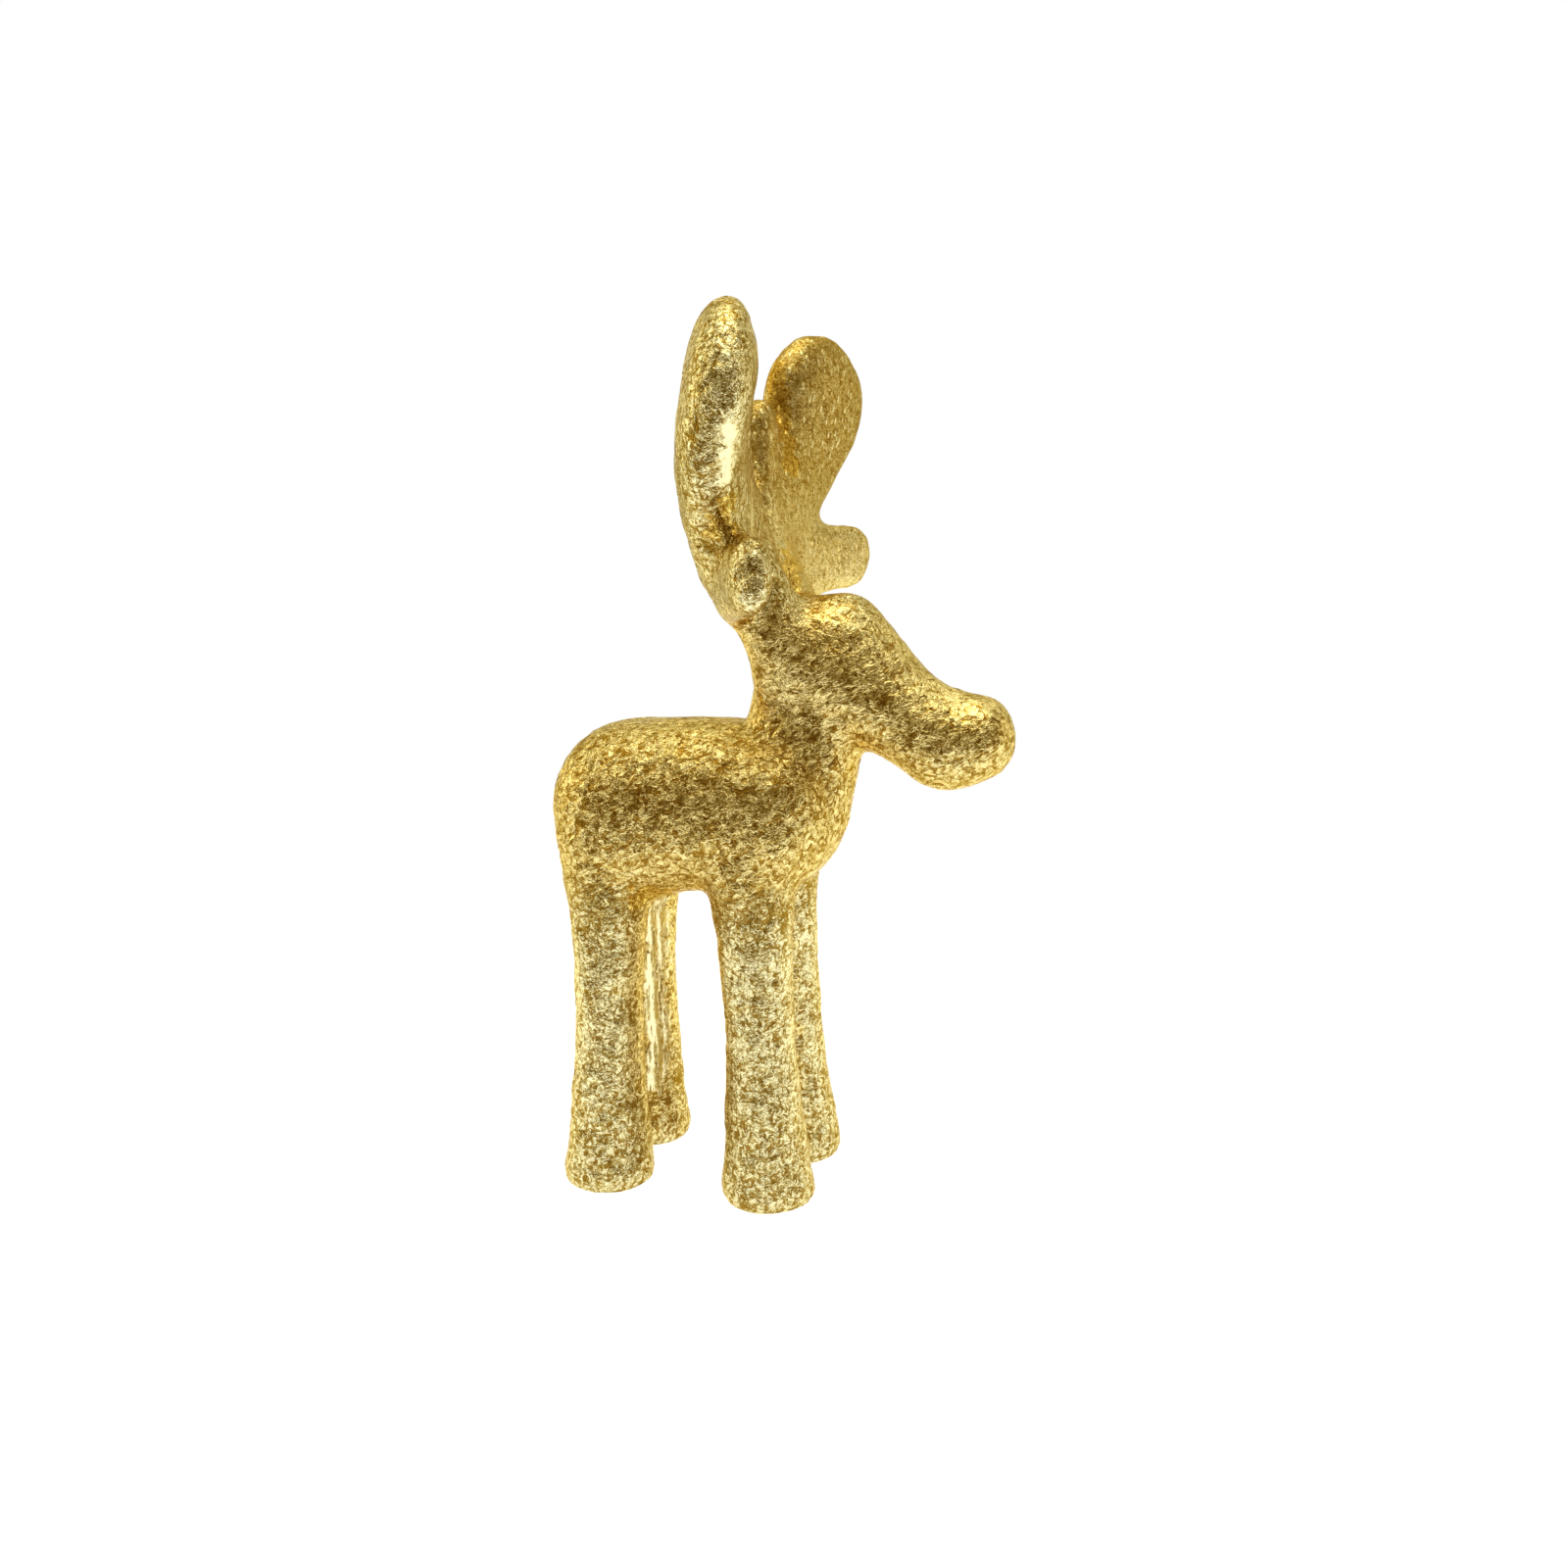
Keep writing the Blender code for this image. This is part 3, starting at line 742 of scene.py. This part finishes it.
def light_ramp(tree, factor, stops):
    """Colour ramp from (position, brightness) stops, which turns warmer as it gets dimmer."""
    node = put(tree, "ShaderNodeValToRGB", Fac=factor)
    elements = node.color_ramp.elements
    elements.remove(elements[-1])
    for i, (position, level) in enumerate(stops):
        stop = elements[0] if i == 0 else elements.new(position)
        stop.position = position
        green = level * min(1.0, TENT_GREEN + TENT_GREEN_RISE * level)
        blue = level * min(1.0, TENT_BLUE_RISE * level)
        stop.color = (level, green, blue, 1.0)
    return node.outputs["Color"]


def studio_world(settings):
    """Light tent: bright overhead and behind the figure, dim where the camera stands, white to the camera."""
    world = bpy.data.worlds.new("light_tent")
    world.use_nodes = True
    tree = world.node_tree
    way = put(tree, "ShaderNodeTexCoord").outputs["Generated"]
    roof = light_ramp(tree, put(tree, "ShaderNodeSeparateXYZ", Vector=way).outputs["Z"], TENT_ROOF)
    to_camera = (math.sin(settings.azimuth), -math.cos(settings.azimuth), 0.0)
    facing = maths(tree, "ADD", vectors(tree, "DOT_PRODUCT", way, to_camera), 1.0)
    walls = light_ramp(tree, maths(tree, "MULTIPLY", facing, 0.5), TENT_WALLS)
    tent = mix_colors(tree, "LIGHTEN", 1.0, roof, walls)
    seen = put(tree, "ShaderNodeLightPath").outputs["Is Camera Ray"]
    feed(tree, mix_colors(tree, "MIX", seen, tent, WHITE), tree.nodes["Background"].inputs["Color"])
    return world


def add_floor(settings):
    """Plain pale floor."""
    far, near = settings.floor_back, settings.floor_front
    mesh = bpy.data.meshes.new("floor")
    mesh.from_pydata([(-far, -near, 0), (far, -near, 0), (far, far, 0), (-far, far, 0)], [], [(0, 1, 2, 3)])
    floor = bpy.data.objects.new("floor", mesh)
    material = bpy.data.materials.new("floor_card")
    material.use_nodes = True
    shader = material.node_tree.nodes["Principled BSDF"]
    shader.inputs["Base Color"].default_value = (*settings.floor, 1.0)
    shader.inputs["Roughness"].default_value = FLOOR_ROUGHNESS
    shader.inputs["Emission Color"].default_value = WHITE
    shader.inputs["Emission Strength"].default_value = settings.floor_glow
    mesh.materials.append(material)
    bpy.context.scene.collection.objects.link(floor)


def add_camera(settings):
    """Camera at the photograph's viewing angle."""
    a, p, r = settings.azimuth, settings.pitch, settings.roll
    back = Vector((math.sin(a) * math.cos(p), -math.cos(a) * math.cos(p), math.sin(p)))
    right = Vector((math.cos(a), math.sin(a), 0))
    up = back.cross(right)
    turned = right * math.cos(r) + up * math.sin(r)
    up = up * math.cos(r) - right * math.sin(r)
    lens = bpy.data.cameras.new("camera")
    lens.sensor_width = SENSOR_WIDTH
    lens.lens = settings.focal_pixels * SENSOR_WIDTH / PHOTO_SIDE
    lens.shift_y = settings.rise_pixels / PHOTO_SIDE
    lens.clip_start = CLIP_START
    camera = bpy.data.objects.new("camera", lens)
    place = Vector(settings.target) + back * settings.distance
    camera.matrix_world = Matrix.Translation(place) @ Matrix((turned, up, back)).transposed().to_4x4()
    bpy.context.scene.collection.objects.link(camera)
    bpy.context.scene.camera = camera


class DEER_OT_figure(bpy.types.Operator):
    """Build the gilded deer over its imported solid"""

    bl_idname = "deer.figure"
    bl_label = "Deer Figure"

    def execute(self, context):
        skin = context.scene.deer_skin
        piece = fine_skin(skin)
        add_relief(piece, skin)
        piece.data.materials.append(foil_material(context.scene.deer_foil))
        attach(piece, "root")
        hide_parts("deer")
        return {"FINISHED"}


class DEER_OT_studio(bpy.types.Operator):
    """Set up the floor, the lights and the camera"""

    bl_idname = "deer.studio"
    bl_label = "Studio"

    def execute(self, context):
        settings = context.scene.deer_studio
        add_floor(settings)
        for name, strength, place, sides in SOFTBOXES:
            softbox(name, place, sides, getattr(settings, strength))
        context.scene.world = studio_world(settings)
        context.scene.view_settings.view_transform = "Standard"
        add_camera(settings)
        return {"FINISHED"}


class DEER_PT_panel(bpy.types.Panel):
    """Sidebar panel of the deer figure."""

    bl_label = "Deer"
    bl_space_type = "VIEW_3D"
    bl_region_type = "UI"
    bl_category = "Deer"

    def draw(self, context):
        for title, group, operator in (("Figure", "deer_skin", "deer.figure"), ("Foil", "deer_foil", None),
                                       ("Studio", "deer_studio", "deer.studio")):
            box = self.layout.box()
            box.label(text=title)
            settings = getattr(context.scene, group)
            for name in settings.bl_rna.properties.keys():
                if name not in ("rna_type", "name"):
                    box.prop(settings, name)
            if operator:
                box.operator(operator)


CLASSES = (SkinSettings, FoilSettings, StudioSettings, DEER_OT_figure, DEER_OT_studio, DEER_PT_panel)


def register():
    for cls in CLASSES:
        bpy.utils.register_class(cls)
    bpy.types.Scene.deer_skin = bpy.props.PointerProperty(type=SkinSettings)
    bpy.types.Scene.deer_foil = bpy.props.PointerProperty(type=FoilSettings)
    bpy.types.Scene.deer_studio = bpy.props.PointerProperty(type=StudioSettings)


def unregister():
    del bpy.types.Scene.deer_studio
    del bpy.types.Scene.deer_foil
    del bpy.types.Scene.deer_skin
    for cls in reversed(CLASSES):
        bpy.utils.unregister_class(cls)


def main():
    register()
    bpy.ops.deer.figure()
    bpy.ops.deer.studio()


if __name__ == "__main__":
    main()
